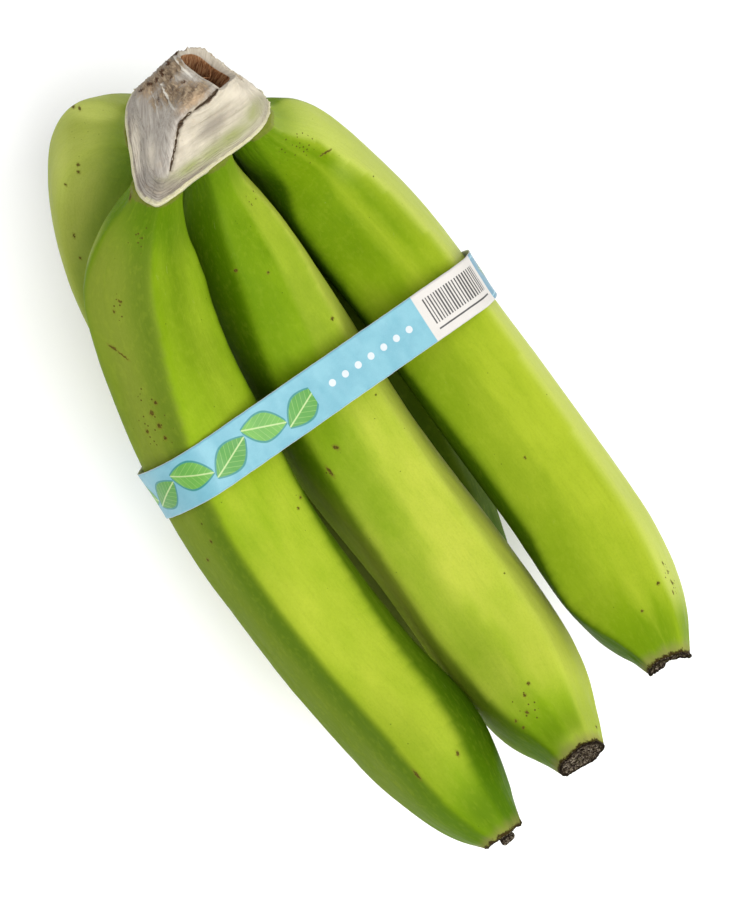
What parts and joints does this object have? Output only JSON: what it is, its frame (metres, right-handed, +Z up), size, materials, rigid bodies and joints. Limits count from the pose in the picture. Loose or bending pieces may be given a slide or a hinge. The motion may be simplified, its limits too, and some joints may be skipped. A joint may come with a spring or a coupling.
{
  "type": "bunch of bananas",
  "caption": "Bunch of green bananas joined at a cut, dried crown and held together by a wrap-around label band, lying on its convex back.",
  "frame": {"origin": "centre of the bunch's footprint box, on the surface it rests on", "axes": "+Z up; +X along the fruit from the crown to the blossom tips; +Y across the bunch"},
  "size_m": [0.2402, 0.1201, 0.1305],
  "materials": {
    "banana_front_left": "waxy satin green peel",
    "banana_front_centre": "waxy satin green peel",
    "banana_front_right": "waxy satin green peel",
    "banana_back_left": "waxy satin green peel",
    "banana_back_right": "waxy satin green peel",
    "crown": "dried, matt, grey-cream cut tissue",
    "label_band": "satin printed band in light blue, white and green"
  },
  "bodies": {
    "root": {"banana_front_left": "banana_front_left", "banana_front_centre": "banana_front_centre", "banana_front_right": "banana_front_right", "banana_back_left": "banana_back_left", "banana_back_right": "banana_back_right", "crown": "crown", "label_band": "label_band"}
  },
  "joints": []
}
